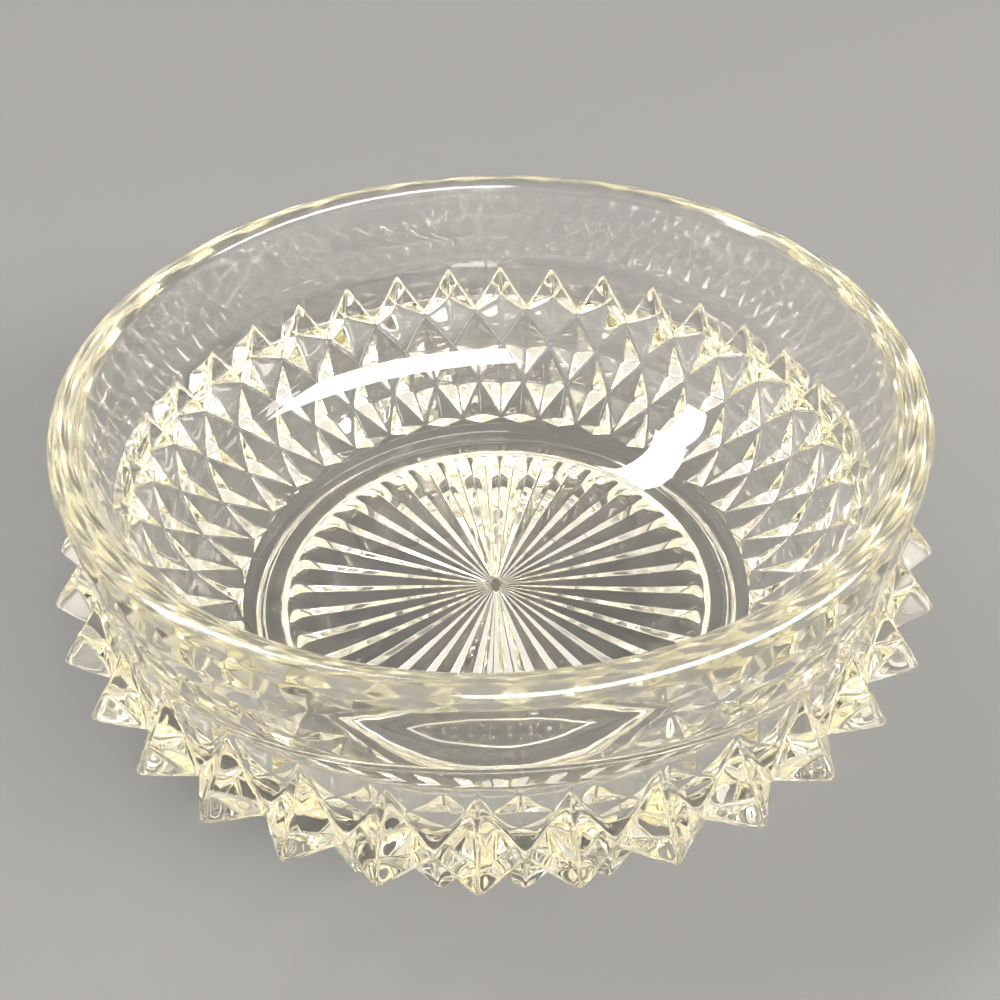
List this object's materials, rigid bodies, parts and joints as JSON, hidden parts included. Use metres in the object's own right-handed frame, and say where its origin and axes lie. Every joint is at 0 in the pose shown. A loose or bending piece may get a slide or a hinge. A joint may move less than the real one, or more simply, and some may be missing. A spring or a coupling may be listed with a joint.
{
  "type": "glass dish",
  "caption": "Round clear pressed-glass dish with a smooth inside, a plain rim band, rows of pointed diamonds outside, a foot ring and a sunburst of rays underneath.",
  "frame": {"origin": "centre of the foot ring, in the plane the dish stands on", "axes": "+Z is the dish's axis of symmetry and points up out of the opening; +X and +Y each point along a diamond tip of the widest row"},
  "size_m": [0.1408, 0.1408, 0.053],
  "materials": {
    "clear_glass": "fire-polished clear pressed glass, colourless where it is thin, with a faint warm cast in the thick lip and points"
  },
  "bodies": {
    "root": {"glass_bowl": "clear_glass"}
  },
  "joints": []
}
